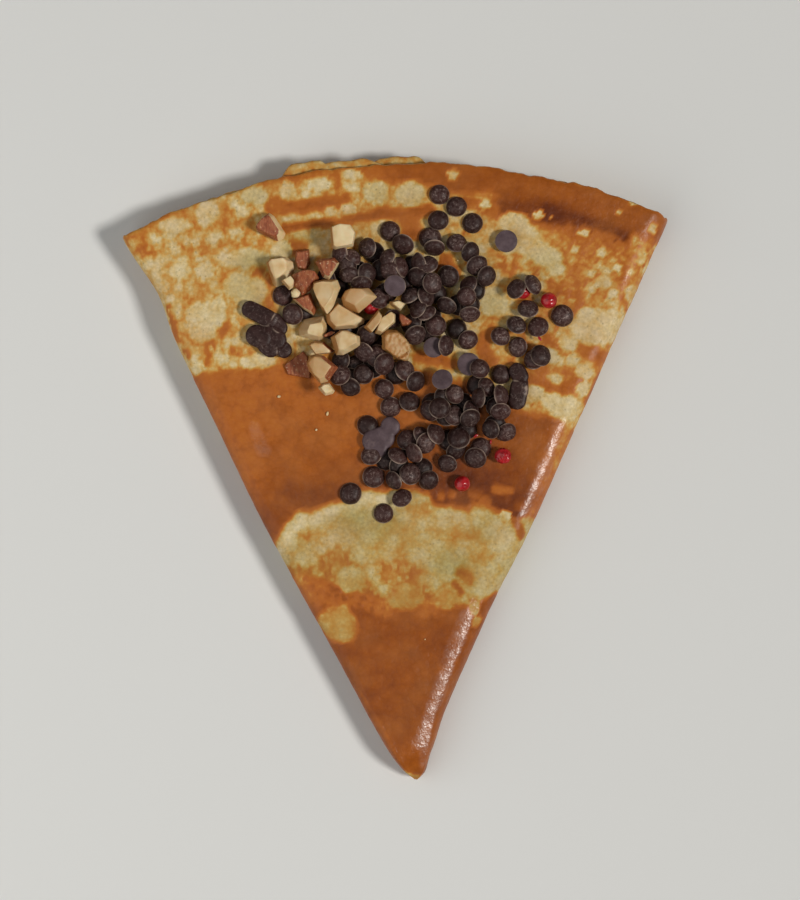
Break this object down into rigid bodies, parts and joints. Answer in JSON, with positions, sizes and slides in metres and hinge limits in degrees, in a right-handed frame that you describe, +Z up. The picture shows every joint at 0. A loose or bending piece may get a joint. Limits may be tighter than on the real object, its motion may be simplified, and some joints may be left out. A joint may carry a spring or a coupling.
{
  "type": "chocolate crepe",
  "caption": "Round crepe folded into a flat wedge of layers, browned on top and strewn with dark chocolate drops, chopped almonds and pink peppercorns.",
  "frame": {"origin": "middle of the bounding box in plan, on the flat underside", "axes": "+Y from the folded corner to the round rim, +Z up through the layers, +X towards the side with the single round fold"},
  "size_m": [0.1548, 0.1767, 0.023],
  "materials": {
    "crepe": "pan-fried batter, mottled cream and brown, with a buttery sheen",
    "chocolate": "dark chocolate with a dusty bloom",
    "almond": "chopped blanched almond",
    "almond_skin": "chopped almond with its brown skin",
    "pink_pepper": "thin glossy husk"
  },
  "bodies": {
    "root": {"crepe": "crepe", "chocolate_drops": "chocolate", "drop_clump_1": "chocolate", "drop_clump_2": "chocolate", "drop_01": "chocolate", "drop_02": "chocolate", "drop_03": "chocolate", "drop_04": "chocolate", "drop_05": "chocolate", "drop_06": "chocolate", "drop_07": "chocolate", "drop_08": "chocolate", "drop_09": "chocolate", "drop_10": "chocolate", "drop_11": "chocolate", "drop_12": "chocolate", "drop_13": "chocolate", "drop_14": "chocolate", "drop_15": "chocolate", "drop_16": "chocolate", "drop_17": "chocolate", "drop_18": "chocolate", "almond_01": "almond_skin", "almond_02": "almond", "almond_03": "almond", "almond_04": "almond", "almond_05": "almond_skin", "almond_06": "almond_skin", "almond_07": "almond_skin", "almond_08": "almond_skin", "almond_09": "almond", "almond_10": "almond", "almond_11": "almond", "almond_12": "almond", "almond_13": "almond", "almond_14": "almond", "almond_15": "almond", "almond_16": "almond_skin", "almond_17": "almond", "almond_18": "almond", "almond_19": "almond", "almond_20": "almond", "almond_21": "almond", "almond_22": "almond_skin", "pink_pepper_1": "pink_pepper", "pink_pepper_2": "pink_pepper", "pink_pepper_3": "pink_pepper", "pink_pepper_4": "pink_pepper", "pink_pepper_5": "pink_pepper"}
  },
  "joints": []
}
